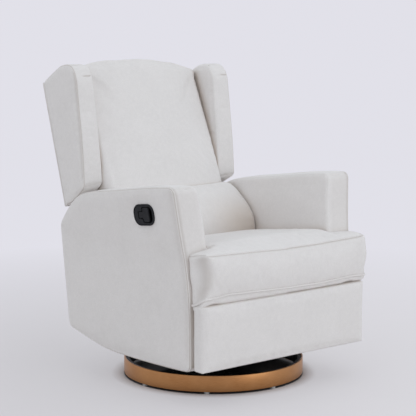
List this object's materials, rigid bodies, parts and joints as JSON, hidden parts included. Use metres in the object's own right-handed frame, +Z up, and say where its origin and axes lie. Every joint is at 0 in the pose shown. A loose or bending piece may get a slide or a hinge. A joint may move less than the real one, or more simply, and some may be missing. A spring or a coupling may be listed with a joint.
{
  "type": "manual swivel glider recliner",
  "caption": "Wing-back upholstered recliner with T-shaped seat cushion and lumbar roll, on a round swivel base with a glide frame; pull-release footrest folds out and the back reclines.",
  "frame": {"origin": "on the floor, under the middle of the whole closed chair's box", "axes": "+Z up; -Y to the front, the way the sitter faces; +X to the sitter's left; the swivel axis is at x 0, y -0.073"},
  "size_m": [0.7628, 0.8763, 1.0422],
  "materials": {
    "fabric": "off-white short-pile upholstery fabric over foam",
    "bronze": "satin bronze",
    "black_plastic": "moulded black",
    "black_steel": "black enamel on steel",
    "zinc": "zinc-plated steel",
    "wood": "bare plywood and softwood",
    "felt": "pale felt"
  },
  "bodies": {
    "base": {"base_ring": "bronze", "base_frame": "black_steel", "base_glide_1": "felt", "base_glide_2": "felt", "base_glide_3": "felt", "base_glide_4": "felt", "base_glide_5": "felt", "base_glide_6": "felt", "base_glide_7": "felt", "base_glide_8": "felt", "swivel_lower_plate": "zinc", "swivel_bearing": "zinc"},
    "turntable": {"swivel_upper_plate": "black_steel", "glide_bracket_left": "black_steel", "glide_bracket_right": "black_steel"},
    "link_front_left": {"glide_link_front_left": "zinc"},
    "link_front_right": {"glide_link_front_right": "zinc"},
    "link_rear_left": {"glide_link_rear_left": "zinc"},
    "link_rear_right": {"glide_link_rear_right": "zinc"},
    "chair": {"side_plate_left": "black_steel", "side_plate_right": "black_steel", "cross_rail_front": "black_steel", "cross_rail_rear": "black_steel", "arm_left": "fabric", "arm_right": "fabric", "arm_board_left": "wood", "arm_board_right": "wood", "seat_rail_left": "wood", "seat_rail_right": "wood", "seat_rail_front": "wood", "seat_rail_rear": "wood", "seat_spring_1": "zinc", "seat_spring_2": "zinc", "seat_spring_3": "zinc", "seat_cushion": "fabric", "rear_panel": "fabric", "release_bezel": "black_plastic", "release_cable": "black_plastic", "paddle_pin": "zinc"},
    "paddle": {"release_paddle": "black_plastic"},
    "foot_links": {"torque_tube": "black_steel", "foot_link_left": "zinc", "foot_link_right": "zinc"},
    "foot_arms": {"foot_arm_left": "zinc", "foot_arm_right": "zinc"},
    "footrest": {"foot_bracket_left": "black_steel", "foot_bracket_right": "black_steel", "footrest_board": "wood", "footrest_pad": "fabric"},
    "backrest": {"back_bracket_left": "zinc", "back_bracket_right": "zinc", "back_stile_left": "wood", "back_stile_right": "wood", "back_rail_top": "wood", "back_rail_bottom": "wood", "back_cushion": "fabric", "lumbar_cushion": "fabric", "wing_left": "fabric", "wing_right": "fabric", "outside_back": "fabric"}
  },
  "joints": [
    {"name": "swivel_turn", "type": "hinge", "parent": "base", "child": "turntable", "pos_m": [0, -0.073, 0.0469], "axis": [0, 0, 1], "continuous": true},
    {"name": "glide_front_left", "type": "hinge", "parent": "turntable", "child": "link_front_left", "pos_m": [0.1515, -0.191, 0.215], "axis": [1, 0, 0], "range_deg": [-22, 22]},
    {"name": "glide_front_right", "type": "hinge", "parent": "turntable", "child": "link_front_right", "pos_m": [-0.1515, -0.191, 0.215], "axis": [1, 0, 0], "range_deg": [-22, 22]},
    {"name": "glide_rear_left", "type": "hinge", "parent": "turntable", "child": "link_rear_left", "pos_m": [0.1515, 0.045, 0.215], "axis": [1, 0, 0], "range_deg": [-22, 22]},
    {"name": "glide_rear_right", "type": "hinge", "parent": "turntable", "child": "link_rear_right", "pos_m": [-0.1515, 0.045, 0.215], "axis": [1, 0, 0], "range_deg": [-22, 22]},
    {"name": "chair_hang", "type": "hinge", "parent": "link_front_left", "child": "chair", "pos_m": [0.1515, -0.191, 0.115], "axis": [1, 0, 0], "range_deg": [-22, 22]},
    {"name": "footrest_open", "type": "hinge", "parent": "chair", "child": "foot_links", "pos_m": [0, -0.243, 0.265], "axis": [-1, 0, 0], "range_deg": [0, 97]},
    {"name": "foot_arm_fold", "type": "hinge", "parent": "foot_links", "child": "foot_arms", "pos_m": [0, -0.22993, 0.11557], "axis": [-1, 0, 0], "range_deg": [-129.8, 0]},
    {"name": "footrest_tilt", "type": "hinge", "parent": "foot_arms", "child": "footrest", "pos_m": [0, -0.35385, 0.26483], "axis": [-1, 0, 0], "range_deg": [0, 122.8]},
    {"name": "recline", "type": "hinge", "parent": "chair", "child": "backrest", "pos_m": [0, 0.172, 0.345], "axis": [-1, 0, 0], "range_deg": [0, 30]},
    {"name": "paddle_pull", "type": "hinge", "parent": "chair", "child": "paddle", "pos_m": [-0.37312, -0.15515, 0.57282], "axis": [0.1094, -0.1149, -0.9873], "range_deg": [0, 30], "stiffness_Nm_per_rad": 0.8}
  ],
  "couplings": [
    {"joint": "glide_front_right", "follows": "glide_front_left", "ratio": 1},
    {"joint": "glide_rear_left", "follows": "glide_front_left", "ratio": 1},
    {"joint": "glide_rear_right", "follows": "glide_front_left", "ratio": 1},
    {"joint": "chair_hang", "follows": "glide_front_left", "ratio": -1},
    {"joint": "foot_arm_fold", "follows": "footrest_open", "ratio": -1.333},
    {"joint": "footrest_tilt", "follows": "footrest_open", "ratio": 1.2608}
  ]
}
